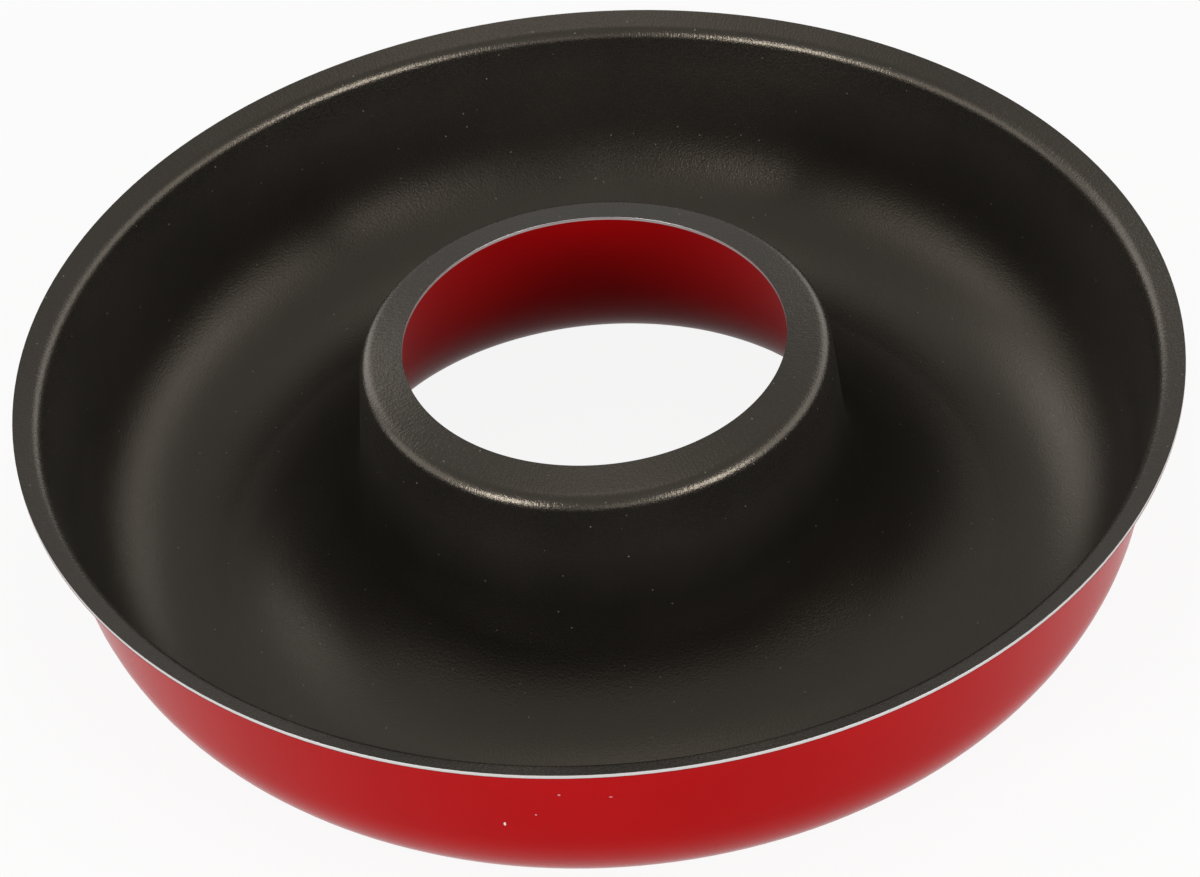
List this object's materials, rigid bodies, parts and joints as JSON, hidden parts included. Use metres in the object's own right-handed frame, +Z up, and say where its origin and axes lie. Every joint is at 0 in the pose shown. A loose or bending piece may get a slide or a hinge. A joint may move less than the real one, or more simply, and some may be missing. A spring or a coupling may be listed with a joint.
{
  "type": "savarin ring mould",
  "caption": "Round ring mould for baking: a pressed aluminium trough with a central tube and a narrow rim flange, dark non-stick lining inside and glossy red lacquer outside.",
  "frame": {"origin": "centre of the base ring's underside, on the mould's axis", "axes": "+Z up along the mould's axis, out of the trough's mouth; X and Y are equivalent"},
  "size_m": [0.27, 0.27, 0.0612],
  "materials": {
    "bare_aluminium": "trimmed sheet edge, satin",
    "nonstick_coat": "semi-matt with a fine pebbled grain",
    "red_coat": "smooth and glossy"
  },
  "bodies": {
    "root": {"pressed_shell": "bare_aluminium", "nonstick_lining": "nonstick_coat", "red_lacquer": "red_coat"}
  },
  "joints": []
}
